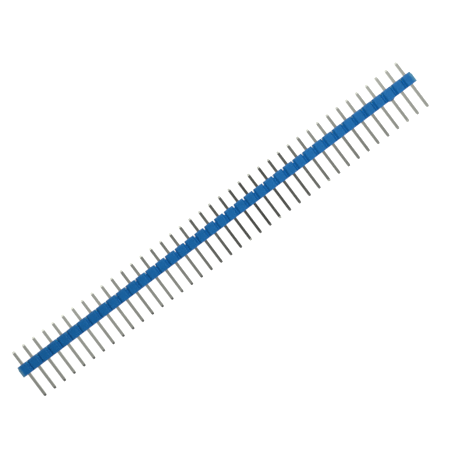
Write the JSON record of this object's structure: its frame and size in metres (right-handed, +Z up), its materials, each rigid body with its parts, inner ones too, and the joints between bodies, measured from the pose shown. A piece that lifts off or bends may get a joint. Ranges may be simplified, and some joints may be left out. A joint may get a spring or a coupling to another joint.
{
  "type": "pin header strip",
  "caption": "Break-away pin header strip: square pins pressed through a grooved plastic insulator, short solder tails on one side and long contact posts on the other.",
  "frame": {"origin": "on the surface that the strip lies on, under the centre of the overall bounding box, which is also the middle of the pins' length", "axes": "+X along the row, pin_01 at the -X end; +Y along the pins towards the short solder tails, -Y towards the long contact posts; +Z up, out of the side face opposite the one that it lies on"},
  "size_m": [0.1016, 0.0114, 0.0025],
  "materials": {
    "insulator": "blue injection-moulded plastic with a soft sheen",
    "pins": "tin-plated brass wire, grey and half bright"
  },
  "bodies": {
    "root": {"insulator": "insulator", "pin_01": "pins", "pin_02": "pins", "pin_03": "pins", "pin_04": "pins", "pin_05": "pins", "pin_06": "pins", "pin_07": "pins", "pin_08": "pins", "pin_09": "pins", "pin_10": "pins", "pin_11": "pins", "pin_12": "pins", "pin_13": "pins", "pin_14": "pins", "pin_15": "pins", "pin_16": "pins", "pin_17": "pins", "pin_18": "pins", "pin_19": "pins", "pin_20": "pins", "pin_21": "pins", "pin_22": "pins", "pin_23": "pins", "pin_24": "pins", "pin_25": "pins", "pin_26": "pins", "pin_27": "pins", "pin_28": "pins", "pin_29": "pins", "pin_30": "pins", "pin_31": "pins", "pin_32": "pins", "pin_33": "pins", "pin_34": "pins", "pin_35": "pins", "pin_36": "pins", "pin_37": "pins", "pin_38": "pins", "pin_39": "pins", "pin_40": "pins"}
  },
  "joints": []
}
